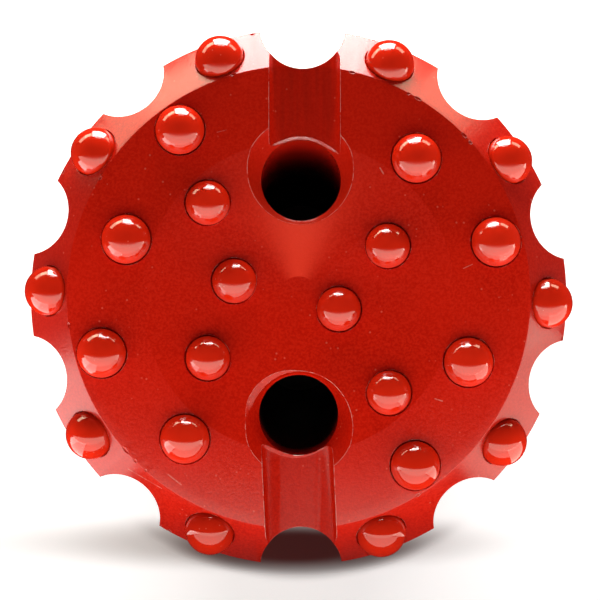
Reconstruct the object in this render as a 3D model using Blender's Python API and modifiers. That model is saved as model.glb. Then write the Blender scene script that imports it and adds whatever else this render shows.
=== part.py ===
"""Down-the-hole hammer button bit, 203 mm across the gauge buttons.

The bit stands on the striking face of its shank: z = 0 is that face, +Z is the
bit's axis and the cutting face looks up. A one-piece steel body carries 24
carbide buttons in blind holes, two flushing holes that lead down into the
central air bore, a groove on the face from each of them to the rim, and ten
half-round slots down the side of the head.
"""

import math

import bmesh
import bpy
from mathutils import Matrix, Vector

MM = 0.001

# Heights, from the striking face up. TOP is the level of the ring where the
# face is highest, and depths on the head are measured down from it.
TOP = 380.0 * MM

# Cutting face: flat centre, dished cone, outer ring, gauge bevel.
CENTRE_R = 7.6 * MM
STEP_R = 57.6 * MM
FACE_R = 85.2 * MM
HEAD_R = 100.0 * MM
DISH_SLOPE = math.radians(8.5)
RING_SLOPE = math.radians(3.5)
GAUGE_TILT = math.radians(45.0)

# Side of the head, down to the shoulder that meets the chuck.
HEAD_BACK_R = 97.4 * MM
HEAD_BACK_DEPTH = 78.0 * MM
SHOULDER_R = 83.5 * MM
SHOULDER_TOP_DEPTH = 94.0 * MM
SHOULDER_DEPTH = 102.0 * MM

# Shank: splines, neck for the retaining rings, striking end.
SPLINE_R = 68.5 * MM
SPLINE_ROOT_R = 61.0 * MM
SPLINE_COUNT = 10
SPLINE_SPACE = 21.0 * MM
SPLINE_END_DEPTH = 214.0 * MM
NECK_R = 52.0 * MM
NECK_TOP_DEPTH = 226.0 * MM
NECK_END_DEPTH = 286.0 * MM
STRIKE_R = 59.0 * MM
BORE_R = 22.5 * MM
BORE_TOP_DEPTH = 92.0 * MM
SEAT_R = 26.0 * MM
SEAT_LENGTH = 38.0 * MM

# Slots down the side of the head: (distance of the slot's centre line from
# the bit's axis, angle in degrees, radius).
SCALLOP_R = 16.0 * MM
SCALLOP_CENTRE = 106.1 * MM
SCALLOP_ANGLES = (16.5, 50.4, 128.6, 162.5, 196.6, 230.4, 308.6, 342.4)
SLOT_TOP = (1.5 * MM, 100.8 * MM, 16.0 * MM)
SLOT_BOTTOM = (0.9 * MM, -100.5 * MM, 15.2 * MM)

# Grooves on the face, from a flushing hole to the rim: flat floor, rounded
# corners, upright sides.
GROOVE_HALF_WIDTH = 13.1 * MM
GROOVE_CORNER_R = 6.0 * MM
GROOVE_FLOOR_DEPTH = 10.3 * MM
GROOVE_TOP = ((2.2 * MM, 46.0 * MM), (2.2 * MM, 108.0 * MM))
GROOVE_BOTTOM = ((-1.1 * MM, -45.0 * MM), (1.9 * MM, -108.0 * MM))

# Flushing holes and the tapered, flat-floored pocket round the mouth of each.
# A hole or pocket is (x, y, radius), a pocket's radius being that at its mouth.
FLUSH_TILT = math.radians(10.0)
FLUSH_AT_DEPTH = 9.3 * MM
FLUSH_END_DEPTH = 122.0 * MM
FLUSH_TOP = (0.85 * MM, 43.2 * MM, 14.8 * MM)
FLUSH_BOTTOM = (0.0 * MM, -43.65 * MM, 14.7 * MM)
POCKET_TAPER = math.radians(15.0)
POCKET_FLOOR_DEPTH = 9.0 * MM
POCKET_TOP = (0.65 * MM, 45.2 * MM, 19.1 * MM)
POCKET_BOTTOM = (0.05 * MM, -45.7 * MM, 19.4 * MM)

# Buttons: rows as (distance from the axis, angle in degrees).
GAUGE_BUTTON_R = 8.9 * MM
FACE_BUTTON_R = 8.65 * MM
INNER_BUTTON_R = 8.1 * MM
BUTTON_STAND = 1.5 * MM
DOME_RISE = 0.78
BUTTON_SEATED = 17.5 * MM
SEAT_GAP = 0.3 * MM
MOUTH_GAP = 0.5 * MM
MOUTH_DEPTH = 1.4 * MM
GAUGE_RADIUS = 92.8 * MM
GAUGE_ANGLES = (-1.4, 33.1, 68.7, 108.4, 144.6, 178.6, 213.4, 249.2, 289.3, 324.7)
FACE_ROW = (
    (75.3, 15.6),
    (66.8, 49.7),
    (75.3, 125.4),
    (66.8, 161.5),
    (75.3, 195.9),
    (66.8, 231.3),
    (75.3, 304.7),
    (66.8, 339.0),
)
INNER_ROW = (
    (37.8, 29.8),
    (48.1, 134.0),
    (24.5, 166.1),
    (40.3, 214.0),
    (48.4, 313.3),
    (15.5, 343.1),
)

# Facets round the body, and round a button or a button hole.
BODY_STEPS = 72
BUTTON_STEPS = 20
DOME_RINGS = 5


def clear_scene():
    for obj in list(bpy.data.objects):
        bpy.data.objects.remove(obj, do_unlink=True)


def make_collection(name):
    collection = bpy.data.collections.new(name)
    bpy.context.scene.collection.children.link(collection)
    return collection


def make_material(name, color, roughness, metallic):
    material = bpy.data.materials.new(name)
    material.use_nodes = True
    shader = material.node_tree.nodes["Principled BSDF"]
    shader.inputs["Base Color"].default_value = (*color, 1.0)
    shader.inputs["Roughness"].default_value = roughness
    shader.inputs["Metallic"].default_value = metallic
    material.diffuse_color = (*color, 1.0)
    return material


def face_height(radius):
    """Height of the cutting face at this distance from the axis."""
    if radius <= STEP_R:
        inner = max(radius, CENTRE_R)
        return TOP - (STEP_R - inner) * math.tan(DISH_SLOPE)
    if radius <= FACE_R:
        return TOP - (radius - STEP_R) * math.tan(RING_SLOPE)
    edge = TOP - (FACE_R - STEP_R) * math.tan(RING_SLOPE)
    return edge - (radius - FACE_R) * math.tan(GAUGE_TILT)


def body_profile():
    """Half section of the body, from the centre of the face down the outside
    and back up the central bore."""
    return [
        (0.0, face_height(0.0)),
        (CENTRE_R, face_height(0.0)),
        (STEP_R, TOP),
        (FACE_R, face_height(FACE_R)),
        (HEAD_R, face_height(HEAD_R)),
        (HEAD_BACK_R, TOP - HEAD_BACK_DEPTH),
        (SHOULDER_R, TOP - SHOULDER_TOP_DEPTH),
        (SHOULDER_R, TOP - SHOULDER_DEPTH + 1.0 * MM),
        (SHOULDER_R - 1.0 * MM, TOP - SHOULDER_DEPTH),
        (SPLINE_R + 2.0 * MM, TOP - SHOULDER_DEPTH),
        (SPLINE_R, TOP - SHOULDER_DEPTH - 2.0 * MM),
        (SPLINE_R, TOP - SPLINE_END_DEPTH + 4.0 * MM),
        (SPLINE_R - 4.0 * MM, TOP - SPLINE_END_DEPTH),
        (NECK_R, TOP - NECK_TOP_DEPTH),
        (NECK_R, TOP - NECK_END_DEPTH),
        (STRIKE_R - 1.5 * MM, TOP - NECK_END_DEPTH - 6.0 * MM),
        (STRIKE_R, TOP - NECK_END_DEPTH - 8.0 * MM),
        (STRIKE_R, 3.0 * MM),
        (STRIKE_R - 3.0 * MM, 0.0),
        (SEAT_R + 2.0 * MM, 0.0),
        (SEAT_R, 2.0 * MM),
        (SEAT_R, SEAT_LENGTH),
        (BORE_R, SEAT_LENGTH + 2.0 * MM),
        (BORE_R, TOP - BORE_TOP_DEPTH - 9.0 * MM),
        (0.0, TOP - BORE_TOP_DEPTH),
    ]


def turned(name, profile, steps, collection, material):
    """Profile of (radius, height) points turned round Z."""
    mesh = bpy.data.meshes.new(name)
    points = [(radius, 0.0, height) for radius, height in profile]
    edges = [(i, i + 1) for i in range(len(points) - 1)]
    mesh.from_pydata(points, edges, [])
    obj = bpy.data.objects.new(name, mesh)
    collection.objects.link(obj)
    screw = obj.modifiers.new("turn", "SCREW")
    screw.axis = "Z"
    screw.steps = steps
    screw.render_steps = steps
    screw.use_merge_vertices = True
    screw.merge_threshold = 0.00005
    screw.use_smooth_shade = True
    if material:
        mesh.materials.append(material)
    return obj


def cutter_object(name, bm, collection):
    mesh = bpy.data.meshes.new(name)
    bmesh.ops.recalc_face_normals(bm, faces=bm.faces)
    bm.to_mesh(mesh)
    bm.free()
    obj = bpy.data.objects.new(name, mesh)
    collection.objects.link(obj)
    obj.hide_render = True
    obj.display_type = "WIRE"
    return obj


def add_cylinder(bm, radius_low, radius_high, low, high, place, segments):
    """Cylinder or cone along the local Z of place, between two local heights."""
    middle = Matrix.Translation((0.0, 0.0, (low + high) / 2))
    bmesh.ops.create_cone(
        bm,
        cap_ends=True,
        cap_tris=False,
        segments=segments,
        radius1=radius_low,
        radius2=radius_high,
        depth=high - low,
        matrix=place @ middle,
    )


def slot_cutters(collection):
    """Half-round slots, parallel to the axis, down the side of the head."""
    bm = bmesh.new()
    centres = [
        (
            SCALLOP_CENTRE * math.cos(math.radians(angle)),
            SCALLOP_CENTRE * math.sin(math.radians(angle)),
            SCALLOP_R,
        )
        for angle in SCALLOP_ANGLES
    ]
    for x, y, radius in centres + [SLOT_TOP, SLOT_BOTTOM]:
        turn = Matrix.Rotation(math.atan2(y, x), 4, "Z")
        place = Matrix.Translation((x, y, 0.0)) @ turn
        add_cylinder(
            bm, radius, radius, TOP - 125.0 * MM, TOP + 12.0 * MM, place, 32
        )
    return cutter_object("cut_side_slots", bm, collection)


def spline_cutters(collection):
    """Spaces between the splines, open into the neck below."""
    bm = bmesh.new()
    low = TOP - NECK_TOP_DEPTH - 4.0 * MM
    high = TOP - SHOULDER_DEPTH - 7.0 * MM
    deep = 16.0 * MM
    for index in range(SPLINE_COUNT):
        turn = Matrix.Rotation(math.tau * (index + 0.5) / SPLINE_COUNT, 4, "Z")
        place = Matrix.Translation(
            (SPLINE_ROOT_R + deep / 2, 0.0, (low + high) / 2)
        )
        size = Matrix.Diagonal((deep, SPLINE_SPACE, high - low, 1.0))
        bmesh.ops.create_cube(bm, size=1.0, matrix=turn @ place @ size)
    return cutter_object("cut_splines", bm, collection)


def groove_outline():
    """Section with its floor at height 0 and a rounded corner on each side."""
    points = []
    steps = 6
    flat = GROOVE_HALF_WIDTH - GROOVE_CORNER_R
    for middle, first in ((-flat, math.pi), (flat, 1.5 * math.pi)):
        for index in range(steps + 1):
            angle = first + 0.5 * math.pi * index / steps
            points.append(
                (
                    middle + GROOVE_CORNER_R * math.cos(angle),
                    GROOVE_CORNER_R + GROOVE_CORNER_R * math.sin(angle),
                )
            )
    rise = 30.0 * MM
    points.append((GROOVE_HALF_WIDTH, rise))
    points.append((-GROOVE_HALF_WIDTH, rise))
    return points


def groove_cutter(name, start, end, collection):
    """The section above, drawn along the face from start to end."""
    curve = bpy.data.curves.new(name, "CURVE")
    curve.dimensions = "2D"
    curve.fill_mode = "BOTH"
    first, last = Vector((*start, 0.0)), Vector((*end, 0.0))
    curve.extrude = (last - first).length / 2
    outline = groove_outline()
    spline = curve.splines.new("POLY")
    spline.points.add(len(outline) - 1)
    for point, (x, y) in zip(spline.points, outline):
        point.co = (x, y, 0.0, 1.0)
    spline.use_cyclic_u = True
    obj = bpy.data.objects.new(name + "_outline", curve)
    collection.objects.link(obj)
    along = (last - first).normalized()
    across = Vector((0.0, 0.0, 1.0)).cross(along) * -1.0
    turn = Matrix((across, Vector((0.0, 0.0, 1.0)), -along)).transposed()
    if turn.determinant() < 0:
        turn = Matrix((-across, Vector((0.0, 0.0, 1.0)), -along)).transposed()
    middle = (first + last) / 2
    middle.z = TOP - GROOVE_FLOOR_DEPTH
    obj.matrix_world = Matrix.Translation(middle) @ turn.to_4x4()
    bpy.context.view_layer.update()
    graph = bpy.context.evaluated_depsgraph_get()
    mesh = bpy.data.meshes.new_from_object(obj.evaluated_get(graph))
    bm = bmesh.new()
    bm.from_mesh(mesh)
    bmesh.ops.remove_doubles(bm, verts=bm.verts, dist=0.00002)
    cutter = cutter_object(name, bm, collection)
    cutter.matrix_world = obj.matrix_world.copy()
    bpy.data.objects.remove(obj, do_unlink=True)
    bpy.data.meshes.remove(mesh)
    return cutter


def pocket_cutters(collection):
    """Tapered pocket with a flat floor round the mouth of each flushing hole."""
    bm = bmesh.new()
    over = 14.0 * MM
    slope = math.tan(POCKET_TAPER)
    for x, y, radius in (POCKET_TOP, POCKET_BOTTOM):
        mouth = face_height(abs(y))
        deep = mouth - (TOP - POCKET_FLOOR_DEPTH)
        place = Matrix.Translation((x, y, mouth))
        add_cylinder(
            bm, radius - deep * slope, radius + over * slope, -deep, over, place, 40
        )
    return cutter_object("cut_pockets", bm, collection)


def flushing_cutter(name, hole, collection):
    """Flushing hole, leaning in towards the central bore as it goes down."""
    x, y, radius = hole
    bm = bmesh.new()
    lean = Matrix.Rotation(-math.copysign(FLUSH_TILT, y), 4, "X")
    place = Matrix.Translation((x, y, TOP - FLUSH_AT_DEPTH)) @ lean
    down = (FLUSH_END_DEPTH - FLUSH_AT_DEPTH) / math.cos(FLUSH_TILT)
    add_cylinder(bm, radius, radius, -down, 30.0 * MM, place, 36)
    return cutter_object(name, bm, collection)


def button_places():
    """(name, radius, matrix) of each button: origin on the steel, Z outwards."""
    found = []
    for index, angle in enumerate(GAUGE_ANGLES):
        turn = Matrix.Rotation(math.radians(angle), 4, "Z")
        lean = Matrix.Rotation(GAUGE_TILT, 4, "Y")
        at = Matrix.Translation((GAUGE_RADIUS, 0.0, face_height(GAUGE_RADIUS)))
        found.append(
            (f"gauge_button_{index + 1:02d}", GAUGE_BUTTON_R, turn @ at @ lean)
        )
    rows = (
        ("face_button", FACE_BUTTON_R, FACE_ROW),
        ("inner_button", INNER_BUTTON_R, INNER_ROW),
    )
    for word, radius, row in rows:
        for index, (distance, angle) in enumerate(row):
            turn = Matrix.Rotation(math.radians(angle), 4, "Z")
            reach = distance * MM
            at = Matrix.Translation((reach, 0.0, face_height(reach)))
            found.append((f"{word}_{index + 1:02d}", radius, turn @ at))
    return found


def button_hole_cutters(places, collection):
    """Blind holes for the buttons, a little wider at the mouth."""
    bm = bmesh.new()
    for _, radius, place in places:
        hole = radius + SEAT_GAP
        mouth = radius + MOUTH_GAP
        foot = -BUTTON_SEATED - SEAT_GAP
        rings = [
            (hole, foot),
            (hole, -MOUTH_DEPTH),
            (mouth, -MOUTH_DEPTH + 0.6 * MM),
            (mouth, 6.0 * MM),
        ]
        previous = None
        for ring_radius, height in rings:
            ring = [
                bm.verts.new(
                    place
                    @ Vector(
                        (
                            ring_radius * math.cos(math.tau * i / BUTTON_STEPS),
                            ring_radius * math.sin(math.tau * i / BUTTON_STEPS),
                            height,
                        )
                    )
                )
                for i in range(BUTTON_STEPS)
            ]
            if previous is None:
                bm.faces.new(list(reversed(ring)))
            else:
                for i in range(BUTTON_STEPS):
                    j = (i + 1) % BUTTON_STEPS
                    bm.faces.new((previous[i], previous[j], ring[j], ring[i]))
            previous = ring
        bm.faces.new(previous)
    return cutter_object("cut_button_holes", bm, collection)


def button_profile(radius):
    """Half section of a button: domed top, straight side, chamfered foot."""
    rise = radius * DOME_RISE
    sphere = (radius * radius + rise * rise) / (2 * rise)
    reach = math.asin(radius / sphere)
    points = []
    for index in range(DOME_RINGS + 1):
        angle = reach * index / DOME_RINGS
        points.append(
            (
                sphere * math.sin(angle),
                BUTTON_STAND + rise - sphere * (1 - math.cos(angle)),
            )
        )
    points.append((radius, -BUTTON_SEATED + 1.0 * MM))
    points.append((radius - 1.0 * MM, -BUTTON_SEATED))
    points.append((0.0, -BUTTON_SEATED))
    return points


def subtract(obj, cutter):
    cut = obj.modifiers.new(cutter.name, "BOOLEAN")
    cut.operation = "DIFFERENCE"
    cut.solver = "EXACT"
    cut.object = cutter


def settle(obj):
    """Keeps the machined shape as a plain mesh: round walls shade smooth, and
    every machined corner stays sharp."""
    bpy.context.view_layer.update()
    graph = bpy.context.evaluated_depsgraph_get()
    mesh = bpy.data.meshes.new_from_object(obj.evaluated_get(graph))
    mesh.name = obj.name
    obj.modifiers.clear()
    obj.data = mesh
    mesh.shade_smooth()
    mesh.set_sharp_from_angle(angle=math.radians(28.0))


def main():
    clear_scene()
    parts = make_collection("button_drill_bit")
    cutters = make_collection("cutters")
    red_paint = make_material("red_paint", (0.50, 0.012, 0.006), 0.38, 0.0)
    gloss_red = make_material("gloss_red", (0.62, 0.016, 0.006), 0.08, 0.0)

    root = bpy.data.objects.new("bit_origin", None)
    parts.objects.link(root)

    body = turned("bit_body", body_profile(), BODY_STEPS, parts, red_paint)
    body.parent = root
    places = button_places()
    groups = [
        slot_cutters(cutters),
        spline_cutters(cutters),
        groove_cutter("cut_groove_top", *GROOVE_TOP, cutters),
        groove_cutter("cut_groove_bottom", *GROOVE_BOTTOM, cutters),
        pocket_cutters(cutters),
        flushing_cutter("cut_flush_top", FLUSH_TOP, cutters),
        flushing_cutter("cut_flush_bottom", FLUSH_BOTTOM, cutters),
        button_hole_cutters(places, cutters),
    ]
    for cutter in groups:
        subtract(body, cutter)
    settle(body)

    shared = {}
    for name, radius, place in places:
        if radius not in shared:
            button = turned(
                name, button_profile(radius), BUTTON_STEPS, parts, gloss_red
            )
            settle(button)
            shared[radius] = button.data
        else:
            button = bpy.data.objects.new(name, shared[radius])
            parts.objects.link(button)
        button.parent = root
        button.matrix_world = place
    bpy.context.view_layer.update()


main()
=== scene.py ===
"""Looks for the button drill bit: a finer body and buttons in painted steel,
on a pale studio floor, seen straight down on the cutting face."""

import math
import random

import bmesh
import bpy
from mathutils import Matrix, Vector


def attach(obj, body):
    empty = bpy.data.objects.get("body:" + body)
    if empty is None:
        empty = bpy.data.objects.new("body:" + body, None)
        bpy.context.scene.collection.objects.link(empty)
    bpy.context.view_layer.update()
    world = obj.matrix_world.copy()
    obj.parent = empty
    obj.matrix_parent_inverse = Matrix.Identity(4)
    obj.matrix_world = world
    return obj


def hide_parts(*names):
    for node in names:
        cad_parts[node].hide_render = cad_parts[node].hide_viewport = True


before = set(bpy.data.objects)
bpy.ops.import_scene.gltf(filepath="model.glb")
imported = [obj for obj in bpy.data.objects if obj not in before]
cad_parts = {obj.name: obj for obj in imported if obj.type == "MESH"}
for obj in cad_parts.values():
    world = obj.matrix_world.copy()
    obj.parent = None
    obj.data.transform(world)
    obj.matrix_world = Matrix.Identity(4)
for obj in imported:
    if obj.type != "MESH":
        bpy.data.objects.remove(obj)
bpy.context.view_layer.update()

MM = 0.001
TOP = 380.0 * MM

# ---------------------------------------------------------------- dimensions
CENTRE_R = 7.6 * MM
STEP_R = 57.6 * MM
FACE_R = 85.2 * MM
HEAD_R = 100.0 * MM
DISH_SLOPE = math.radians(8.5)
RING_SLOPE = math.radians(3.5)
RING_CROWN = 0.20 * MM
GAUGE_TILT = math.radians(45.0)
HEAD_BACK_R = 97.4 * MM
HEAD_BACK_DEPTH = 78.0 * MM
SHOULDER_R = 83.5 * MM
SHOULDER_TOP_DEPTH = 94.0 * MM
SHOULDER_DEPTH = 102.0 * MM
SPLINE_R = 68.5 * MM
SPLINE_ROOT_R = 61.0 * MM
SPLINE_COUNT = 10
SPLINE_SPACE = 21.0 * MM
SPLINE_END_DEPTH = 214.0 * MM
NECK_R = 52.0 * MM
NECK_TOP_DEPTH = 226.0 * MM
NECK_END_DEPTH = 286.0 * MM
STRIKE_R = 59.0 * MM
BORE_R = 22.5 * MM
BORE_TOP_DEPTH = 92.0 * MM
SEAT_R = 26.0 * MM
SEAT_LENGTH = 38.0 * MM
SCALLOP_R = 16.0 * MM
SCALLOP_CENTRE = 106.1 * MM
SCALLOP_ANGLES = (16.5, 50.4, 128.6, 162.5, 196.6, 230.4, 308.6, 342.4)
SLOT_TOP = (1.5 * MM, 100.8 * MM, 16.0 * MM)
SLOT_BOTTOM = (0.9 * MM, -100.5 * MM, 15.2 * MM)
GROOVE_HALF_WIDTH = 13.1 * MM
GROOVE_CORNER = 6.0 * MM
GROOVE_SQUARENESS = 2.6
RAMP_RADIUS = 16.0 * MM
GROOVE_START = 59.5 * MM
GROOVE_START_DEPTH = 9.9 * MM
GROOVE_FALL = math.radians(2.4)
GROOVE_TOP = ((2.2 * MM, 46.0 * MM), (2.2 * MM, 108.0 * MM))
GROOVE_BOTTOM = ((-1.1 * MM, -45.0 * MM), (1.9 * MM, -108.0 * MM))
FLUSH_TILT = math.radians(10.0)
FLUSH_AT_DEPTH = 9.3 * MM
FLUSH_END_DEPTH = 122.0 * MM
FLUSH_TOP = (0.85 * MM, 43.2 * MM, 14.8 * MM)
FLUSH_BOTTOM = (0.0 * MM, -43.65 * MM, 14.7 * MM)
POCKET_FLOOR_DEPTH = 9.0 * MM
RIM_CHAMFER = 0.65 * MM
POCKET_TOP = (0.65 * MM, 45.2 * MM, 19.1 * MM)
POCKET_BOTTOM = (0.15 * MM, -45.8 * MM, 19.25 * MM)
# The buttons' radii are over the paint.
GAUGE_BUTTON_R = 9.08 * MM
FACE_BUTTON_R = 9.00 * MM
INNER_BUTTON_R = 8.15 * MM
BUTTON_STAND = 1.5 * MM
DOME_RISE = 0.78
BUTTON_SEATED = 17.5 * MM
SEAT_GAP = 0.3 * MM
PAINT_GAP = 0.05 * MM
MOUTH_GAP = 0.45 * MM
MOUTH_DEPTH = 1.2 * MM
GAUGE_RADIUS = 92.8 * MM
GAUGE_ANGLES = (-1.4, 33.1, 68.7, 108.4, 144.6, 178.6, 213.4, 249.2, 289.3, 324.7)
FACE_ROW = (
    (75.3, 15.6),
    (66.8, 49.7),
    (75.3, 125.4),
    (66.8, 161.5),
    (75.3, 195.9),
    (66.8, 231.3),
    (75.3, 304.7),
    (66.8, 339.0),
)
INNER_ROW = (
    (37.8, 29.8),
    (48.1, 134.0),
    (24.5, 166.1),
    (40.3, 214.0),
    (48.4, 313.3),
    (15.5, 343.1),
)

BODY_STEPS = 216
HOLE_STEPS = 72
SLOT_STEPS = 96


# -------------------------------------------------------------------- shapes
def face_height(radius):
    if radius <= STEP_R:
        inner = max(radius, CENTRE_R)
        return TOP - (STEP_R - inner) * math.tan(DISH_SLOPE)
    if radius <= FACE_R:
        return TOP - (radius - STEP_R) * math.tan(RING_SLOPE)
    edge = TOP - (FACE_R - STEP_R) * math.tan(RING_SLOPE)
    return edge - (radius - FACE_R) * math.tan(GAUGE_TILT)


def rounded(points, radii, steps=3):
    """The open outline with each corner that has a radius turned into an arc."""
    out = [points[0]]
    for before, corner, after, radius in zip(
        points, points[1:], points[2:], radii[1:-1]
    ):
        if radius <= 0.0:
            out.append(corner)
            continue
        c = Vector(corner)
        a = (Vector(before) - c).normalized()
        b = (Vector(after) - c).normalized()
        half = math.acos(max(-1.0, min(1.0, a.dot(b)))) / 2
        back = radius / math.tan(half)
        centre = c + (a + b).normalized() * (radius / math.sin(half))
        first, last = c + a * back - centre, c + b * back - centre
        turn = first.angle_signed(last)
        for i in range(steps + 1):
            part = -turn * i / steps
            out.append(
                tuple(
                    centre
                    + Vector(
                        (
                            first.x * math.cos(part) - first.y * math.sin(part),
                            first.x * math.sin(part) + first.y * math.cos(part),
                        )
                    )
                )
            )
    out.append(points[-1])
    return out


def body_profile():
    low = face_height(0.0)
    ring = []
    for i in range(1, 6):
        part = i / 6
        radius = STEP_R + (FACE_R - STEP_R) * part
        crown = 4 * RING_CROWN * part * (1 - part)
        ring.append((radius, face_height(radius) + crown, 0))
    table = [
        (0.0, low, 0),
        (CENTRE_R, low, 0),
        (STEP_R, TOP, 0),
        *ring,
        (FACE_R, face_height(FACE_R), 0.35),
        (HEAD_R, face_height(HEAD_R), 0.5),
        (HEAD_BACK_R, TOP - HEAD_BACK_DEPTH, 3.0),
        (SHOULDER_R, TOP - SHOULDER_TOP_DEPTH, 2.0),
        (SHOULDER_R, TOP - SHOULDER_DEPTH + 1.0 * MM, 0.4),
        (SHOULDER_R - 1.0 * MM, TOP - SHOULDER_DEPTH, 0.4),
        (SPLINE_R + 2.0 * MM, TOP - SHOULDER_DEPTH, 0.6),
        (SPLINE_R, TOP - SHOULDER_DEPTH - 2.0 * MM, 0.6),
        (SPLINE_R, TOP - SPLINE_END_DEPTH + 4.0 * MM, 0.8),
        (SPLINE_R - 4.0 * MM, TOP - SPLINE_END_DEPTH, 0.8),
        (NECK_R, TOP - NECK_TOP_DEPTH, 3.0),
        (NECK_R, TOP - NECK_END_DEPTH, 1.2),
        (STRIKE_R - 1.5 * MM, TOP - NECK_END_DEPTH - 6.0 * MM, 0.8),
        (STRIKE_R, TOP - NECK_END_DEPTH - 8.0 * MM, 0.8),
        (STRIKE_R, 3.0 * MM, 0.7),
        (STRIKE_R - 3.0 * MM, 0.0, 0.7),
        (SEAT_R + 2.0 * MM, 0.0, 0.4),
        (SEAT_R, 2.0 * MM, 0.4),
        (SEAT_R, SEAT_LENGTH, 0),
        (BORE_R, SEAT_LENGTH + 2.0 * MM, 0),
        (BORE_R, TOP - BORE_TOP_DEPTH - 9.0 * MM, 0),
        (0.0, TOP - BORE_TOP_DEPTH, 0),
    ]
    return rounded([row[:2] for row in table], [row[2] * MM for row in table])


def turned_mesh(name, profile, steps):
    """Closed mesh of (radius, height) points turned round Z. The first and the
    last point lie on the axis."""
    bm = bmesh.new()
    tip = bm.verts.new((0.0, 0.0, profile[0][1]))
    foot = bm.verts.new((0.0, 0.0, profile[-1][1]))
    rings = []
    for radius, height in profile[1:-1]:
        rings.append(
            [
                bm.verts.new(
                    (
                        radius * math.cos(math.tau * i / steps),
                        radius * math.sin(math.tau * i / steps),
                        height,
                    )
                )
                for i in range(steps)
            ]
        )
    for i in range(steps):
        j = (i + 1) % steps
        bm.faces.new((tip, rings[0][i], rings[0][j]))
        bm.faces.new((foot, rings[-1][j], rings[-1][i]))
        for upper, lower in zip(rings, rings[1:]):
            bm.faces.new((upper[i], lower[i], lower[j], upper[j]))
    bmesh.ops.recalc_face_normals(bm, faces=bm.faces)
    mesh = bpy.data.meshes.new(name)
    bm.to_mesh(mesh)
    bm.free()
    return mesh


def add_cylinder(bm, radius_low, radius_high, low, high, place, segments):
    middle = Matrix.Translation((0.0, 0.0, (low + high) / 2))
    bmesh.ops.create_cone(
        bm,
        cap_ends=True,
        cap_tris=False,
        segments=segments,
        radius1=radius_low,
        radius2=radius_high,
        depth=high - low,
        matrix=place @ middle,
    )


def cutter(name, bm):
    mesh = bpy.data.meshes.new(name)
    bmesh.ops.recalc_face_normals(bm, faces=bm.faces)
    bm.to_mesh(mesh)
    bm.free()
    obj = bpy.data.objects.new(name, mesh)
    bpy.context.scene.collection.objects.link(obj)
    return obj


def slot_cutter():
    bm = bmesh.new()
    centres = [
        (
            SCALLOP_CENTRE * math.cos(math.radians(angle)),
            SCALLOP_CENTRE * math.sin(math.radians(angle)),
            SCALLOP_R,
        )
        for angle in SCALLOP_ANGLES
    ]
    for x, y, radius in centres + [SLOT_TOP, SLOT_BOTTOM]:
        turn = Matrix.Rotation(math.atan2(y, x), 4, "Z")
        place = Matrix.Translation((x, y, 0.0)) @ turn
        add_cylinder(
            bm, radius, radius, TOP - 125.0 * MM, TOP + 12.0 * MM, place, SLOT_STEPS
        )
    return cutter("side_slots", bm)


def spline_cutter():
    bm = bmesh.new()
    low = TOP - NECK_TOP_DEPTH - 4.0 * MM
    high = TOP - SHOULDER_DEPTH - 7.0 * MM
    deep = 16.0 * MM
    for index in range(SPLINE_COUNT):
        turn = Matrix.Rotation(math.tau * (index + 0.5) / SPLINE_COUNT, 4, "Z")
        place = Matrix.Translation((SPLINE_ROOT_R + deep / 2, 0.0, (low + high) / 2))
        size = Matrix.Diagonal((deep, SPLINE_SPACE, high - low, 1.0))
        made = bmesh.ops.create_cube(bm, size=1.0, matrix=turn @ place @ size)
        along = [
            e
            for e in {e for v in made["verts"] for e in v.link_edges}
            if abs(e.verts[0].co.z - e.verts[1].co.z) > 0.05
            and min(Vector(v.co.xy).length for v in e.verts) < SPLINE_ROOT_R + 3.0 * MM
        ]
        bmesh.ops.bevel(
            bm, geom=along, offset=1.6 * MM, segments=4, profile=0.5, affect="EDGES"
        )
    return cutter("splines", bm)


def groove_cutter(name, start, end, skew):
    """Cut from the pocket to the rim, its floor slightly hollow and rounded up
    into the walls. The floor starts level with the pocket's, drops down a short
    ramp that follows the pocket's edge, then falls a little on the way out."""
    section = []
    for i in range(57):
        x = math.sin(0.5 * math.pi * (i / 28 - 1))
        y = 1 - (1 - min(abs(x), 1.0) ** GROOVE_SQUARENESS) ** (1 / GROOVE_SQUARENESS)
        section.append((x * GROOVE_HALF_WIDTH, y * GROOVE_CORNER))
    section += [(GROOVE_HALF_WIDTH, 30.0 * MM), (-GROOVE_HALF_WIDTH, 30.0 * MM)]
    first, last = Vector((*start, 0.0)), Vector((*end, 0.0))
    along = (last - first).normalized()
    across = Vector((abs(along.y), -along.x * math.copysign(1.0, along.y), 0.0))
    far = abs(last.y)
    level = POCKET_FLOOR_DEPTH + 0.02 * MM
    fall = (far - GROOVE_START) * math.tan(GROOVE_FALL)
    stations = [
        (abs(first.y), level, 0.0),
        (GROOVE_START - 1.3 * MM, level, 1.0),
        (GROOVE_START, GROOVE_START_DEPTH, 1.0),
        (far, GROOVE_START_DEPTH + fall, 0.0),
    ]
    bm = bmesh.new()
    rings = []
    for reach, depth, curve in stations:
        point = first + along * ((reach - abs(first.y)) / abs(along.y))
        ring = []
        for x, y in section:
            back = curve * (x * x / (2 * RAMP_RADIUS) + skew * x)
            place = point + across * x - along * back
            ring.append(bm.verts.new(place + Vector((0.0, 0.0, TOP - depth + y))))
        rings.append(ring)
    count = len(section)
    for near, away in zip(rings, rings[1:]):
        for i in range(count):
            j = (i + 1) % count
            bm.faces.new((near[i], near[j], away[j], away[i]))
    bm.faces.new(rings[0])
    bm.faces.new(rings[-1])
    return cutter(name, bm)


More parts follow.
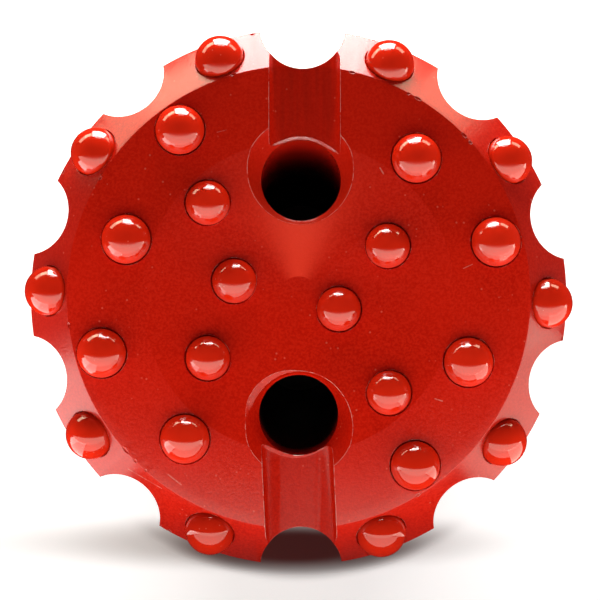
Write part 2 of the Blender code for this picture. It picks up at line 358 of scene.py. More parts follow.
def pocket_cutter(name, pocket, hole):
    """Countersink from the face down to the flushing hole, whose centre is a
    little off the pocket's, with a narrow chamfer round the hole's rim."""
    x, y, radius = pocket
    hole_x, hole_y, hole_radius = hole
    lip = (x, y, radius, face_height(abs(y)))
    floor = TOP - POCKET_FLOOR_DEPTH
    foot = (hole_x, hole_y, hole_radius + RIM_CHAMFER, floor + 1.2 * RIM_CHAMFER)
    over = 14.0 * MM / (lip[3] - foot[3])
    circles = [
        tuple(a + (a - b) * over for a, b in zip(lip, foot)),
        lip,
        foot,
        (hole_x, hole_y, hole_radius, floor),
        (hole_x, hole_y, hole_radius - 2.0 * MM, floor - 1.0 * MM),
    ]
    steps = 144
    bm = bmesh.new()
    rings = [
        [
            bm.verts.new(
                (
                    middle_x + r * math.cos(math.tau * i / steps),
                    middle_y + r * math.sin(math.tau * i / steps),
                    height,
                )
            )
            for i in range(steps)
        ]
        for middle_x, middle_y, r, height in circles
    ]
    for upper, lower in zip(rings, rings[1:]):
        for i in range(steps):
            j = (i + 1) % steps
            bm.faces.new((upper[i], upper[j], lower[j], lower[i]))
    bm.faces.new(rings[0])
    bm.faces.new(rings[-1])
    return cutter(name, bm)


def crescent_cutter():
    """Shallow, off-centre countersink that leaves a crescent on the upper left
    lip of the lower pocket."""
    bm = bmesh.new()
    x, y, radius = POCKET_BOTTOM
    shift = 3.3 * MM
    x, y = x - 0.72 * shift, y + 0.69 * shift
    lip = face_height(abs(y))
    lean = Matrix.Rotation(-DISH_SLOPE, 4, "X")
    place = Matrix.Translation((x, y, lip)) @ lean
    over = 3.0 * MM
    deep = 2.2 * MM
    spread = 1.05
    outer = radius - 2.62 * MM
    add_cylinder(
        bm, outer - deep * spread, outer + over * spread, -deep, over, place, 144
    )
    return cutter("crescent", bm)


def flushing_cutter(name, hole):
    x, y, radius = hole
    bm = bmesh.new()
    lean = Matrix.Rotation(-math.copysign(FLUSH_TILT, y), 4, "X")
    place = Matrix.Translation((x, y, TOP - FLUSH_AT_DEPTH)) @ lean
    down = (FLUSH_END_DEPTH - FLUSH_AT_DEPTH) / math.cos(FLUSH_TILT)
    add_cylinder(bm, radius, radius, -down, 30.0 * MM, place, 128)
    return cutter(name, bm)


# Nicks along the machined edges: (radius from the axis, angle, length, width,
# depth), lengths in millimetres.
NICKS = (
    (85.3, 44.4, 2.6, 1.3, 0.55),
    (85.1, 42.0, 1.6, 1.0, 0.4),
    (85.3, 59.0, 3.0, 1.2, 0.5),
    (85.2, 61.6, 1.4, 1.0, 0.4),
    (85.1, 76.6, 2.4, 1.1, 0.45),
    (85.4, 106.5, 1.8, 0.9, 0.35),
    (85.2, 149.0, 1.6, 0.9, 0.35),
    (85.3, 187.0, 2.0, 0.9, 0.35),
    (85.2, 221.5, 3.4, 1.3, 0.5),
    (85.3, 225.0, 2.2, 1.1, 0.45),
    (85.2, 228.5, 1.5, 0.9, 0.4),
    (85.3, 262.0, 1.7, 0.9, 0.35),
    (85.2, 301.0, 2.0, 1.0, 0.4),
    (99.6, 351.0, 2.4, 1.3, 0.6),
    (99.4, 24.5, 2.0, 1.2, 0.5),
    (99.7, 238.5, 2.6, 1.3, 0.6),
    (99.6, 241.0, 1.6, 1.0, 0.5),
    (99.6, 301.5, 2.2, 1.1, 0.5),
    (99.5, 100.0, 1.8, 1.0, 0.5),
    (99.6, 152.0, 2.0, 1.1, 0.5),
)


def nick_cutter():
    """Small scoops where the edges were knocked."""
    bm = bmesh.new()
    for radius, angle, long, wide, deep in NICKS:
        turn = Matrix.Rotation(math.radians(angle), 4, "Z")
        at = Matrix.Translation((radius * MM, 0.0, face_height(radius * MM)))
        size = Matrix.Diagonal((0.6 * wide * MM, 0.5 * long * MM, deep * MM, 1.0))
        bmesh.ops.create_icosphere(
            bm, subdivisions=2, radius=1.0, matrix=turn @ at @ size
        )
    return cutter("nicks", bm)


def button_places():
    found = []
    for index, angle in enumerate(GAUGE_ANGLES):
        turn = Matrix.Rotation(math.radians(angle), 4, "Z")
        lean = Matrix.Rotation(GAUGE_TILT, 4, "Y")
        at = Matrix.Translation((GAUGE_RADIUS, 0.0, face_height(GAUGE_RADIUS)))
        found.append(
            (f"gauge_button_{index + 1:02d}", GAUGE_BUTTON_R, turn @ at @ lean)
        )
    rows = (
        ("face_button", FACE_BUTTON_R, FACE_ROW),
        ("inner_button", INNER_BUTTON_R, INNER_ROW),
    )
    for word, radius, row in rows:
        for index, (distance, angle) in enumerate(row):
            turn = Matrix.Rotation(math.radians(angle), 4, "Z")
            reach = distance * MM
            at = Matrix.Translation((reach, 0.0, face_height(reach)))
            found.append((f"{word}_{index + 1:02d}", radius, turn @ at))
    return found


def button_hole_cutter(places):
    bm = bmesh.new()
    for _, radius, place in places:
        hole = radius + PAINT_GAP
        mouth = radius + MOUTH_GAP
        foot = -BUTTON_SEATED - SEAT_GAP
        rings = [
            (hole, foot),
            (hole, -MOUTH_DEPTH),
            (mouth, -MOUTH_DEPTH + 0.3 * MM),
            (mouth, 6.0 * MM),
        ]
        previous = None
        for ring_radius, height in rings:
            ring = [
                bm.verts.new(
                    place
                    @ Vector(
                        (
                            ring_radius * math.cos(math.tau * i / HOLE_STEPS),
                            ring_radius * math.sin(math.tau * i / HOLE_STEPS),
                            height,
                        )
                    )
                )
                for i in range(HOLE_STEPS)
            ]
            if previous is None:
                bm.faces.new(list(reversed(ring)))
            else:
                for i in range(HOLE_STEPS):
                    j = (i + 1) % HOLE_STEPS
                    bm.faces.new((previous[i], previous[j], ring[j], ring[i]))
            previous = ring
        bm.faces.new(previous)
    return cutter("button_holes", bm)


def make_body(places):
    mesh = turned_mesh("painted_body", body_profile(), BODY_STEPS)
    body = bpy.data.objects.new("painted_body", mesh)
    bpy.context.scene.collection.objects.link(body)
    groups = [
        slot_cutter(),
        spline_cutter(),
        groove_cutter("groove_top", *GROOVE_TOP, 0.098),
        groove_cutter("groove_bottom", *GROOVE_BOTTOM, 0.0),
        pocket_cutter("pocket_top", POCKET_TOP, FLUSH_TOP),
        pocket_cutter("pocket_bottom", POCKET_BOTTOM, FLUSH_BOTTOM),
        crescent_cutter(),
        flushing_cutter("flushing_top", FLUSH_TOP),
        flushing_cutter("flushing_bottom", FLUSH_BOTTOM),
        button_hole_cutter(places),
        nick_cutter(),
    ]
    for group in groups:
        cut = body.modifiers.new(group.name, "BOOLEAN")
        cut.operation = "DIFFERENCE"
        cut.solver = "EXACT"
        cut.object = group
    bpy.context.view_layer.update()
    graph = bpy.context.evaluated_depsgraph_get()
    made = bpy.data.meshes.new_from_object(body.evaluated_get(graph))
    body.modifiers.clear()
    body.data = made
    for group in groups:
        bpy.data.objects.remove(group, do_unlink=True)
    made.shade_smooth()
    made.set_sharp_from_angle(angle=math.radians(14.0))
    for edge in made.edges:
        ends = [made.vertices[i].co for i in edge.vertices]
        if all(
            abs(math.hypot(co.x, co.y) - STEP_R) < 0.03 * MM
            and co.z > TOP - 0.03 * MM
            for co in ends
        ):
            edge.use_edge_sharp = True
    return body


def split_finish(body, paint, steel):
    """Paint outside, bare steel on the striking face and in the bore."""
    mesh = body.data
    mesh.materials.clear()
    mesh.materials.append(paint)
    mesh.materials.append(steel)
    for face in mesh.polygons:
        centre = face.center
        reach = math.hypot(centre.x, centre.y)
        inside = reach < SEAT_R + 2.5 * MM and centre.z < TOP - SHOULDER_DEPTH
        ground = centre.z < 0.6 * MM and face.normal.z < -0.9
        face.material_index = 1 if inside or ground else 0


def button_mesh(name, radius, place):
    rise = radius * DOME_RISE
    sphere = (radius * radius + rise * rise) / (2 * rise)
    reach = math.asin(radius / sphere)
    points = []
    rings = 22
    for i in range(rings + 1):
        angle = reach * i / rings
        points.append(
            (
                sphere * math.sin(angle),
                BUTTON_STAND + rise - sphere * (1 - math.cos(angle)),
            )
        )
    points += [
        (radius, BUTTON_STAND * 0.5),
        (radius, -BUTTON_SEATED + 1.0 * MM),
        (radius - 1.0 * MM, -BUTTON_SEATED),
        (0.0, -BUTTON_SEATED),
    ]
    mesh = turned_mesh(name, points, 80)
    mesh.transform(place)
    mesh.shade_smooth()
    mesh.set_sharp_from_angle(angle=math.radians(40.0))
    return mesh


# ----------------------------------------------------------------- materials
class Nodes:
    """Small helper that adds and links shader nodes of one material."""

    def __init__(self, name):
        self.material = bpy.data.materials.new(name)
        self.material.use_nodes = True
        self.tree = self.material.node_tree
        self.shader = self.tree.nodes["Principled BSDF"]

    def add(self, kind, **values):
        node = self.tree.nodes.new(kind)
        for key, value in values.items():
            if hasattr(node, key):
                setattr(node, key, value)
            else:
                node.inputs[key.replace("_", " ")].default_value = value
        return node

    def link(self, source, target):
        self.tree.links.new(source, target)

    def noise(self, coordinates, scale, detail=2.0, rough=0.5):
        node = self.add("ShaderNodeTexNoise")
        node.inputs["Scale"].default_value = scale
        node.inputs["Detail"].default_value = detail
        node.inputs["Roughness"].default_value = rough
        self.link(coordinates, node.inputs["Vector"])
        return node.outputs["Fac"]

    def math(self, kind, a, b=None, clamp=False):
        node = self.add("ShaderNodeMath")
        node.operation = kind
        node.use_clamp = clamp
        for socket, value in zip(node.inputs, (a, b)):
            if value is None:
                continue
            if isinstance(value, (int, float)):
                socket.default_value = value
            else:
                self.link(value, socket)
        return node.outputs[0]

    def span(self, value, low, high, to_low=0.0, to_high=1.0, smooth=True):
        node = self.add("ShaderNodeMapRange")
        node.interpolation_type = "SMOOTHSTEP" if smooth else "LINEAR"
        node.inputs["From Min"].default_value = low
        node.inputs["From Max"].default_value = high
        node.inputs["To Min"].default_value = to_low
        node.inputs["To Max"].default_value = to_high
        self.link(value, node.inputs["Value"])
        return node.outputs["Result"]

    def blend(self, factor, first, second, kind="MIX"):
        node = self.add("ShaderNodeMix")
        node.data_type = "RGBA"
        node.blend_type = kind
        if isinstance(factor, (int, float)):
            node.inputs[0].default_value = factor
        else:
            self.link(factor, node.inputs[0])
        for socket, value in ((node.inputs[6], first), (node.inputs[7], second)):
            if isinstance(value, tuple):
                socket.default_value = (*value, 1.0)
            else:
                self.link(value, socket)
        return node.outputs[2]

    def bump(self, height, distance, strength=1.0, normal=None):
        node = self.add("ShaderNodeBump")
        node.inputs["Strength"].default_value = strength
        node.inputs["Distance"].default_value = distance
        self.link(height, node.inputs["Height"])
        if normal is not None:
            self.link(normal, node.inputs["Normal"])
        return node.outputs["Normal"]

    def place(self):
        return self.add("ShaderNodeTexCoord").outputs["Object"]


# Fine marks on the paint, from one point to another: (x0, y0, x1, y1, half
# width, strength), in millimetres as seen on the cutting face.
SCRATCHES = (
    (29.9, 47.4, 31.2, 45.2, 0.20, 0.40),
    (86.2, 36.2, 87.0, 34.4, 0.20, 0.5),
    (-48.0, -65.3, -43.2, -69.0, 0.20, 0.30),
    (-63.0, -63.5, -50.5, -70.5, 0.16, 0.25),
    (50.0, -37.4, 52.7, -38.2, 0.20, 0.40),
    (-30.0, 60.5, -26.5, 61.4, 0.14, 0.15),
    (60.5, 10.5, 63.8, 12.0, 0.14, 0.3),
)


def scratch_mask(n, at):
    """Largest of the marks' masks, each a soft line on the face."""
    flat = n.add("ShaderNodeVectorMath")
    flat.operation = "MULTIPLY"
    flat.inputs[1].default_value = (1000.0, 1000.0, 0.0)
    n.link(at, flat.inputs[0])
    wobble = n.noise(at, 700.0, 2.0)
    total = None
    for x0, y0, x1, y1, half, strength in SCRATCHES:
        start, end = Vector((x0, y0, 0.0)), Vector((x1, y1, 0.0))
        span = end - start
        rel = n.add("ShaderNodeVectorMath")
        rel.operation = "SUBTRACT"
        rel.inputs[1].default_value = start
        n.link(flat.outputs[0], rel.inputs[0])
        dot = n.add("ShaderNodeVectorMath")
        dot.operation = "DOT_PRODUCT"
        dot.inputs[1].default_value = span / span.length_squared
        n.link(rel.outputs[0], dot.inputs[0])
        along = n.math("ADD", dot.outputs["Value"], 0.0, clamp=True)
        back = n.add("ShaderNodeVectorMath")
        back.operation = "SCALE"
        back.inputs[0].default_value = span
        n.link(along, back.inputs["Scale"])
        gap = n.add("ShaderNodeVectorMath")
        gap.operation = "DISTANCE"
        n.link(rel.outputs[0], gap.inputs[0])
        n.link(back.outputs[0], gap.inputs[1])
        near = n.span(gap.outputs["Value"], half * 1.6, half * 0.5, 0.0, strength)
        total = near if total is None else n.math("MAXIMUM", total, near)
    return n.math("MULTIPLY", total, n.span(wobble, 0.35, 0.55, 0.35, 1.0))


def specks(n, at, scale, size, cover, low, high):
    """Dust: dots of one size where a slow noise lets them be."""
    dust = n.add("ShaderNodeTexVoronoi")
    dust.inputs["Scale"].default_value = scale
    n.link(at, dust.inputs["Vector"])
    return n.math(
        "MULTIPLY",
        n.span(dust.outputs["Distance"], size, size * 0.4),
        n.span(n.noise(at, cover, 1.0), low, high),
        clamp=True,
    )


def red_paint():
    """Satin red enamel over a machined forging: fine orange peel, dust, a pale
    worn line along the sharp edges, and little paint deep in the holes, darkened
    there also as painted shade. Painted light besides: shade on the upper groove's
    floor, the face's upper side and the bevel's left and right, a sheen above the
    dish's centre and glints on the holes' rims."""
    n = Nodes("red_paint")
    at = n.place()
    broad = n.noise(at, 26.0, 3.0, 0.55)
    fine = n.noise(at, 1100.0, 2.0, 0.6)
    grain = n.noise(at, 2600.0, 1.0, 0.5)

    edge = n.add("ShaderNodeBevel")
    edge.samples = 6
    edge.inputs["Radius"].default_value = 0.40 * MM
    true = n.add("ShaderNodeNewGeometry").outputs["Normal"]
    dot = n.add("ShaderNodeVectorMath")
    dot.operation = "DOT_PRODUCT"
    n.link(edge.outputs["Normal"], dot.inputs[0])
    n.link(true, dot.inputs[1])
    near = n.math("SUBTRACT", 1.0, dot.outputs["Value"], clamp=True)
    chips = n.noise(at, 300.0, 4.0, 0.7)
    worn = n.math(
        "MULTIPLY", n.span(near, 0.03, 0.12), n.span(chips, 0.47, 0.60), clamp=True
    )

    red = n.blend(n.span(broad, 0.3, 0.7), (0.465, 0.0060, 0.0011), (0.510, 0.0076, 0.0014))
    red = n.blend(n.span(fine, 0.34, 0.66), red, (0.590, 0.0118, 0.0027))
    light = specks(n, at, 330.0, 0.17, 120.0, 0.52, 0.60)
    red = n.blend(n.math("MULTIPLY", light, 0.30), red, (0.80, 0.20, 0.14))
    dark = specks(n, at, 260.0, 0.15, 90.0, 0.58, 0.66)
    red = n.blend(n.math("MULTIPLY", dark, 0.22), red, (0.16, 0.004, 0.003))
    red = n.blend(n.math("MULTIPLY", worn, 0.60), red, (0.66, 0.40, 0.36))
    red = n.blend(scratch_mask(n, at), red, (0.75, 0.40, 0.34))

    parts = n.add("ShaderNodeSeparateXYZ")
    n.link(at, parts.inputs[0])

    # The upper groove's floor gets painted shade, streaked along its length with
    # fine marks, and the lower one is duller along both sides.
    aside = n.math("ABSOLUTE", parts.outputs["X"])
    sunk = n.span(parts.outputs["Z"], TOP - 0.0078, TOP - 0.0090)
    sunk = n.math("MULTIPLY", sunk, n.span(aside, 0.0160, 0.0155))
    upper = n.math("MULTIPLY", sunk, n.span(parts.outputs["Y"], 0.056, 0.060))
    drawn = n.add("ShaderNodeVectorMath")
    drawn.operation = "MULTIPLY"
    drawn.inputs[1].default_value = (1.0, 0.04, 0.0)
    n.link(at, drawn.inputs[0])
    lines = n.noise(drawn.outputs[0], 420.0, 2.0, 0.6)
    shade = n.math("MULTIPLY", upper, n.span(lines, 0.35, 0.65, 0.42, 0.20))
    red = n.blend(shade, red, (0.20, 0.006, 0.002))
    lower = n.math("MULTIPLY", sunk, n.span(parts.outputs["Y"], -0.056, -0.060))
    side = n.math("ABSOLUTE", n.math("SUBTRACT", parts.outputs["X"], 0.0003))
    side = n.math("ADD", side, n.span(lines, 0.3, 0.7, -0.0012, 0.0012))
    dull = n.math("MULTIPLY", lower, n.span(side, 0.0052, 0.0080))

    # The lips of the pockets and grooves are rubbed to a thin pale line.
    lip = n.math("MULTIPLY", n.span(near, 0.02, 0.09), n.span(chips, 0.40, 0.52))
    reach_y = n.math("ABSOLUTE", parts.outputs["Y"])
    lip = n.math("MULTIPLY", lip, n.span(aside, 0.0235, 0.0215))
    lip = n.math("MULTIPLY", lip, n.span(reach_y, 0.0235, 0.0255))
    lip = n.math("MULTIPLY", lip, n.span(parts.outputs["Z"], TOP - 0.0068, TOP - 0.0060))
    red = n.blend(n.math("MULTIPLY", lip, 0.72), red, (0.80, 0.55, 0.50))

    # Painted highlight: a near-white glint along the lower edge of each hole's rim.
    for x, y, radius, wide in ((*FLUSH_TOP, 7.0 * MM), (*FLUSH_BOTTOM, 2.4 * MM)):
        dx = n.math("SUBTRACT", parts.outputs["X"], x)
        dy = n.math("SUBTRACT", parts.outputs["Y"], y)
        square = n.math("ADD", n.math("MULTIPLY", dx, dx), n.math("MULTIPLY", dy, dy))
        gap = n.math("SQRT", square)
        limits = (
            n.span(gap, radius - 0.3 * MM, radius - 0.1 * MM),
            n.span(gap, radius + 0.75 * MM, radius + 0.60 * MM),
            n.span(n.math("ABSOLUTE", dx), wide, wide * 0.5),
            n.span(dy, -11.0 * MM, -12.0 * MM),
            n.span(parts.outputs["Z"], TOP - 9.6 * MM, TOP - 9.2 * MM),
            n.span(parts.outputs["Z"], TOP - 7.4 * MM, TOP - 8.0 * MM),
            n.span(chips, 0.36, 0.48),
        )
        rim_glint = 0.9
        for limit in limits:
            rim_glint = n.math("MULTIPLY", limit, rim_glint)
        red = n.blend(rim_glint, red, (0.95, 0.86, 0.83))

    # Down the flushing holes the paint thins out to dark, bare metal, darkened further as
    # painted shade, which starts sooner in the lower hole.
    reach = n.math(
        "SQRT",
        n.math(
            "ADD",
            n.math("MULTIPLY", parts.outputs["X"], parts.outputs["X"]),
            n.math("MULTIPLY", parts.outputs["Y"], parts.outputs["Y"]),
        ),
    )
    # Painted sheen: the dish is a little paler in a fan above its centre.
    dish_sheen = n.span(n.math("ARCTAN2", aside, parts.outputs["Y"]), 0.80, 0.05)
    dish_sheen = n.math("MULTIPLY", dish_sheen, n.span(reach, 0.0074, 0.0079))
    dish_sheen = n.math("MULTIPLY", dish_sheen, n.span(reach, 0.062, 0.020))
    red = n.blend(n.math("MULTIPLY", dish_sheen, 0.85), red, (0.85, 0.046, 0.020))
    # Within 61.5 mm of the axis the hole walls turn a brighter red from 10.5 to 13 mm down,
    # before going dark.
    within = n.span(reach, 0.0615, 0.0600)
    deep = n.span(parts.outputs["Z"], TOP - 12.0 * MM, TOP - 86.0 * MM)
    # Painted shade: the lower hole darkens from a shallower depth.
    low_hole = n.span(parts.outputs["Y"], 0.0, -0.01)
    soon = n.span(parts.outputs["Z"], TOP - 8.5 * MM, TOP - 22.0 * MM)
    deep = n.math("MAXIMUM", deep, n.math("MULTIPLY", low_hole, soon))
    ragged = n.math("ADD", deep, n.span(broad, 0.3, 0.7, -0.04, 0.04), clamp=True)
    below = n.span(parts.outputs["Z"], TOP - 10.5 * MM, TOP - 13.0 * MM)
    inner = n.math("MULTIPLY", within, below)
    red = n.blend(n.math("MULTIPLY", inner, 0.7), red, (0.66, 0.012, 0.004))
    # Near-black deep in the holes: bare metal and painted shade together.
    bare = n.math("MULTIPLY", ragged, inner)
    above = n.span(parts.outputs["Z"], TOP - 0.128, TOP - 0.124)
    bare = n.math("MULTIPLY", bare, above)
    red = n.blend(bare, red, (0.024, 0.012, 0.011))
    # Painted shade: the face darkens towards its upper side.
    rise = n.span(parts.outputs["Y"], -0.020, 0.080)
    rise = n.math("MULTIPLY", rise, n.span(reach, 0.0865, 0.0850))
    red = n.blend(n.math("MULTIPLY", rise, 0.26), red, (0.10, 0.004, 0.001))
    # Painted shade: the bevel is a little darker on the left and right.
    flank = n.math("MULTIPLY", n.span(reach, 0.0850, 0.0856), n.span(aside, 0.046, 0.066))
    flank = n.math("MULTIPLY", flank, n.span(parts.outputs["Y"], 0.062, 0.030))
    flank = n.math("MULTIPLY", flank, n.span(parts.outputs["Z"], TOP - 0.030, TOP - 0.016))
    red = n.blend(n.math("MULTIPLY", flank, 0.24), red, (0.06, 0.010, 0.008))
    n.link(red, n.shader.inputs["Base Color"])
    level = n.span(n.math("MAXIMUM", bare, n.math("MULTIPLY", dull, 0.45)), 0.0, 0.6, 0.43, 0.04)
    n.link(level, n.shader.inputs["Specular IOR Level"])

    gloss = n.span(fine, 0.3, 0.7, 0.18, 0.25)
    n.link(gloss, n.shader.inputs["Roughness"])
    n.shader.inputs["IOR"].default_value = 1.50
    soft = n.bump(fine, 0.00010, 0.45, edge.outputs["Normal"])
    rough = n.bump(grain, 0.00005, 0.5, soft)
    n.link(rough, n.shader.inputs["Normal"])
    return n.material


def bare_steel():
    """Ground steel of the striking face and the bore, with turning marks."""
    n = Nodes("bare_steel")
    at = n.place()
    parts = n.add("ShaderNodeSeparateXYZ")
    n.link(at, parts.inputs[0])
    reach = n.math(
        "SQRT",
        n.math(
            "ADD",
            n.math("MULTIPLY", parts.outputs["X"], parts.outputs["X"]),
            n.math("MULTIPLY", parts.outputs["Y"], parts.outputs["Y"]),
        ),
    )
    rings = n.math("SINE", n.math("MULTIPLY", reach, 9000.0))
    broad = n.noise(at, 60.0, 4.0, 0.6)
    fine = n.noise(at, 900.0, 3.0, 0.6)
    steel = n.blend(n.span(broad, 0.3, 0.7), (0.33, 0.32, 0.31), (0.46, 0.45, 0.44))
    steel = n.blend(
        n.math("MULTIPLY", n.span(fine, 0.52, 0.75), 0.5), steel, (0.16, 0.13, 0.11)
    )
    dull = n.span(parts.outputs["Z"], 0.004, 0.050)
    steel = n.blend(n.math("MULTIPLY", dull, 0.85), steel, (0.06, 0.05, 0.047))
    n.link(steel, n.shader.inputs["Base Color"])
    n.shader.inputs["Metallic"].default_value = 1.0
    n.link(n.span(broad, 0.3, 0.7, 0.28, 0.42), n.shader.inputs["Roughness"])
    marks = n.bump(rings, 0.00004, 0.35)
    n.link(n.bump(fine, 0.00006, 0.3, marks), n.shader.inputs["Normal"])
    return n.material


def gloss_red():
    """Thick wet-looking enamel on the carbide domes."""
    n = Nodes("gloss_red")
    at = n.place()
    broad = n.noise(at, 60.0, 2.0)
    red = n.blend(n.span(broad, 0.3, 0.7), (0.565, 0.0145, 0.0032), (0.620, 0.0175, 0.0042))
    light = specks(n, at, 420.0, 0.15, 170.0, 0.53, 0.60)
    red = n.blend(n.math("MULTIPLY", light, 0.25), red, (0.88, 0.30, 0.22))
    n.link(red, n.shader.inputs["Base Color"])
    n.link(n.span(broad, 0.3, 0.7, 0.03, 0.06), n.shader.inputs["Roughness"])
    n.shader.inputs["IOR"].default_value = 1.66
    wave = n.noise(at, 90.0, 1.0)
    n.link(n.bump(wave, 0.0004, 0.22), n.shader.inputs["Normal"])
    return n.material


def oval(n, at, middle, reach, inner, outer):
    """1 inside an oval on the floor, falling softly to 0 outside it."""
    shift = n.add("ShaderNodeVectorMath")
    shift.operation = "SUBTRACT"
    shift.inputs[1].default_value = (*middle, 0.0)
    n.link(at, shift.inputs[0])
    squash = n.add("ShaderNodeVectorMath")
    squash.operation = "MULTIPLY"
    squash.inputs[1].default_value = (1 / reach[0], 1 / reach[1], 0.0)
    n.link(shift.outputs[0], squash.inputs[0])
    far = n.add("ShaderNodeVectorMath")
    far.operation = "LENGTH"
    n.link(squash.outputs[0], far.inputs[0])
    return n.span(far.outputs["Value"], outer, inner)


def floor_paint():
    """Bright floor that glows evenly, with a painted soft contact shadow under
    the edge of the head, cut into both its colour and its glow."""
    n = Nodes("pale_floor")
    at = n.place()
    broad = n.noise(at, 3.0, 3.0)
    # Painted shadows: a dark core seen through the lower slot and a wider, fainter halo.
    shadow_core = oval(n, at, (-0.002, -0.1262), (0.056, 0.0122), 0.45, 1.25)
    shadow_halo = oval(n, at, (-0.025, -0.1240), (0.135, 0.0140), 0.35, 1.20)
    away = n.add("ShaderNodeVectorMath")
    away.operation = "LENGTH"
    n.link(at, away.inputs[0])
    parts = n.add("ShaderNodeSeparateXYZ")
    n.link(at, parts.inputs[0])
    # Painted shadow hugging the head's lower rim.
    rim = n.math(
        "MULTIPLY",
        n.span(away.outputs["Value"], 0.1450, 0.1372),
        n.span(parts.outputs["Y"], -0.108, -0.130),
    )
    # Under the head both painted shadows run back to the foot.
    under = oval(n, at, (-0.002, -0.082), (0.052, 0.054), 0.10, 1.00)
    shadow_core = n.math("MAXIMUM", shadow_core, n.math("MULTIPLY", under, 0.75))
    shadow_pool = oval(n, at, (-0.004, -0.034), (0.126, 0.100), 0.05, 1.00)
    shadow_halo = n.math("MAXIMUM", shadow_halo, shadow_pool)
    pale = n.blend(broad, (0.86, 0.86, 0.86), (0.91, 0.91, 0.91))
    pale = n.blend(n.math("MULTIPLY", rim, 0.7), pale, (0.20, 0.14, 0.14))
    n.link(n.blend(shadow_core, pale, (0.19, 0.050, 0.053)), n.shader.inputs["Base Color"])
    n.shader.inputs["Emission Color"].default_value = (1.0, 1.0, 1.0, 1.0)
    lit = n.math("MULTIPLY", n.span(shadow_halo, 0.0, 1.0, 0.66, 0.16, smooth=False), 1.0)
    lit = n.math("MULTIPLY", lit, n.math("SUBTRACT", 1.0, shadow_core))
    lit = n.math("MULTIPLY", lit, n.span(rim, 0.0, 1.0, 1.0, 0.35, smooth=False))
    n.link(lit, n.shader.inputs["Emission Strength"])
    n.shader.inputs["Roughness"].default_value = 0.6
    return n.material


# --------------------------------------------------------------------- build
places = button_places()
body = make_body(places)
split_finish(body, red_paint(), bare_steel())
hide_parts("bit_body")
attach(body, "root")

dome_paint = gloss_red()
for name, radius, place in places:
    mesh = button_mesh("painted_" + name, radius, place)
    mesh.materials.append(dome_paint)
    button = bpy.data.objects.new("painted_" + name, mesh)
    bpy.context.scene.collection.objects.link(button)
    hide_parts(name)
    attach(button, "root")


# --------------------------------------------------------------------- stage
def make_floor():
    bm = bmesh.new()
    bmesh.ops.create_grid(bm, x_segments=8, y_segments=8, size=6.0)
    mesh = bpy.data.meshes.new("studio_floor")
    bm.to_mesh(mesh)
    bm.free()
    floor = bpy.data.objects.new("studio_floor", mesh)
    bpy.context.scene.collection.objects.link(floor)
    floor.location = (0.0, 0.0, -0.0002)
    floor.data.materials.append(floor_paint())
    floor.visible_glossy = False


def panel(
    name, centre, aim, width, height, radiance, colour=(1.0, 1.0, 1.0), glossy=True
):
    """Soft rectangular light. radiance is what its face shows."""
    light = bpy.data.lights.new(name, "AREA")
    light.shape = "RECTANGLE"
    light.size = width
    light.size_y = height
    light.color = colour
    light.energy = radiance * math.pi * width * height
    obj = bpy.data.objects.new(name, light)
    bpy.context.scene.collection.objects.link(obj)
    obj.location = centre
    way = (Vector(aim) - Vector(centre)).normalized()
    obj.rotation_euler = way.to_track_quat("-Z", "Y").to_euler()
    obj.visible_camera = False
    obj.visible_glossy = glossy
    return obj


def make_backdrop():
    """Pale wall all round, seen by the camera only."""
    bm = bmesh.new()
    bmesh.ops.create_cone(
        bm, cap_ends=False, segments=96, radius1=5.8, radius2=5.8, depth=12.0
    )
    bmesh.ops.reverse_faces(bm, faces=bm.faces)
    mesh = bpy.data.meshes.new("studio_wall")
    bm.to_mesh(mesh)
    bm.free()
    wall = bpy.data.objects.new("studio_wall", mesh)
    bpy.context.scene.collection.objects.link(wall)
    n = Nodes("pale_wall")
    n.shader.inputs["Base Color"].default_value = (0.0, 0.0, 0.0, 1.0)
    n.shader.inputs["Emission Color"].default_value = (0.95, 0.95, 0.95, 1.0)
    n.shader.inputs["Emission Strength"].default_value = 0.85
    mesh.materials.append(n.material)
    wall.visible_diffuse = False
    wall.visible_glossy = False
    wall.visible_transmission = False
    wall.visible_shadow = False


LEAN = 0.155


def strip(name, x0, x1, z0, z1, radiance, colour=(1.0, 0.94, 0.80)):
    """Light just in front of the head, facing it and leaning away. Its heights
    are from the cutting face."""
    middle = (z0 + z1) / 2
    centre = ((x0 + x1) / 2, -0.104 - LEAN * max(middle, 0.0), TOP + middle)
    aim = (centre[0], centre[1] + 1.0, centre[2] + (LEAN if middle > 0.0 else 0.0))
    long = (z1 - z0) * math.hypot(1.0, LEAN)
    return panel(name, centre, aim, x1 - x0, long, radiance, colour)


make_floor()
make_backdrop()
face = TOP
warm = (1.0, 0.88, 0.61)
cream = (1.0, 0.95, 0.88)
panel(
    "softbox", (0.0, 0.46, face - 0.05), (0.0, 0.0, face - 0.02), 0.30, 0.27, 17.0,
    (1.0, 0.985, 0.95),
)
panel(
    "softbox_top", (0.0, 0.46, face + 0.117), (0.0, 0.0, face + 0.02), 0.16, 0.064, 6.0,
    (1.0, 0.95, 0.86),
)
panel(
    "flank_left", (-0.242, 0.437, face - 0.02), (0.0, 0.0, face), 0.16, 0.13, 8.7, warm
)
panel(
    "flank_far_left", (-0.366, 0.341, face - 0.02), (0.0, 0.0, face), 0.16, 0.13, 5.0,
    warm,
)
panel(
    "flank_right", (0.275, 0.421, face - 0.02), (0.0, 0.0, face), 0.20, 0.13, 5.3, warm
)
strip("table_far", -0.95, 0.95, 0.05, 0.30, 2.5)
strip("table_farther", -0.95, 0.95, 0.30, 0.37, 1.8)
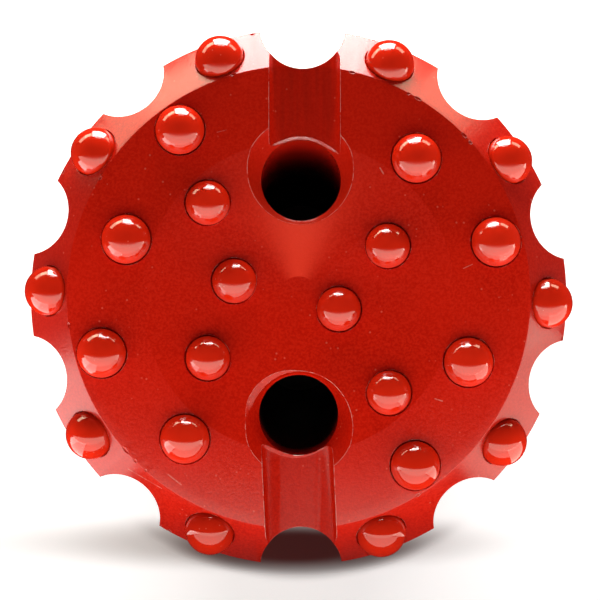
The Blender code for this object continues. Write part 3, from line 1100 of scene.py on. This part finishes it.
strip("table_fading", -0.95, 0.95, 0.37, 0.45, 1.1)
strip("table_end", -0.95, 0.95, 0.45, 0.56, 0.60)
strip("table_dim", -0.95, 0.95, 0.56, 0.72, 0.30)
strip("table_dimmer", -0.95, 0.95, 0.72, 0.95, 0.14)
strip("table_beyond", -0.95, 0.95, 0.95, 1.50, 0.08)
strip("table_near", -0.10, 0.10, 0.003, 0.05, 1.8)
strip("table_left", -0.40, -0.17, -0.07, 0.05, 5.0, cream)
strip("table_near_left", -0.17, -0.10, -0.07, 0.05, 3.4, cream)
strip("table_right", 0.10, 0.50, -0.07, 0.05, 2.9)
strip("table_far_right", 0.50, 1.30, -0.07, 0.05, 6.3)
panel("fill_left", (-1.1, -0.1, 0.17), (0.0, 0.0, 0.17), 0.9, 0.30, 1.5, glossy=False)
panel("fill_right", (1.1, -0.1, 0.17), (0.0, 0.0, 0.17), 0.9, 0.30, 1.5, glossy=False)
panel("fill_front", (0.0, -1.2, 0.17), (0.0, 0.0, 0.17), 0.9, 0.30, 1.6, glossy=False)
panel(
    "front_fill", (0.0, -0.50, face + 0.35), (0.0, 0.0, face), 0.7, 0.35, 0.75,
    cream, glossy=False,
)

world = bpy.data.worlds.new("studio")
world.use_nodes = True
world.node_tree.nodes["Background"].inputs["Color"].default_value = (1.0, 1.0, 1.0, 1.0)
world.node_tree.nodes["Background"].inputs["Strength"].default_value = 0.02
bpy.context.scene.world = world

# -------------------------------------------------------------------- camera
lens = bpy.data.cameras.new("photo_view")
lens.sensor_width = 36.0
lens.lens = 36.0 * 1.0 / 0.2203
lens.clip_start = 0.05
lens.clip_end = 20.0
camera = bpy.data.objects.new("photo_view", lens)
bpy.context.scene.collection.objects.link(camera)
camera.location = (0.0005, -0.0011, 1.380)
camera.rotation_euler = (0.0, 0.0, 0.0)
bpy.context.scene.camera = camera

scene = bpy.context.scene
scene.view_settings.view_transform = "Standard"
scene.view_settings.look = "None"
scene.view_settings.exposure = 0.0
scene.cycles.use_denoising = True
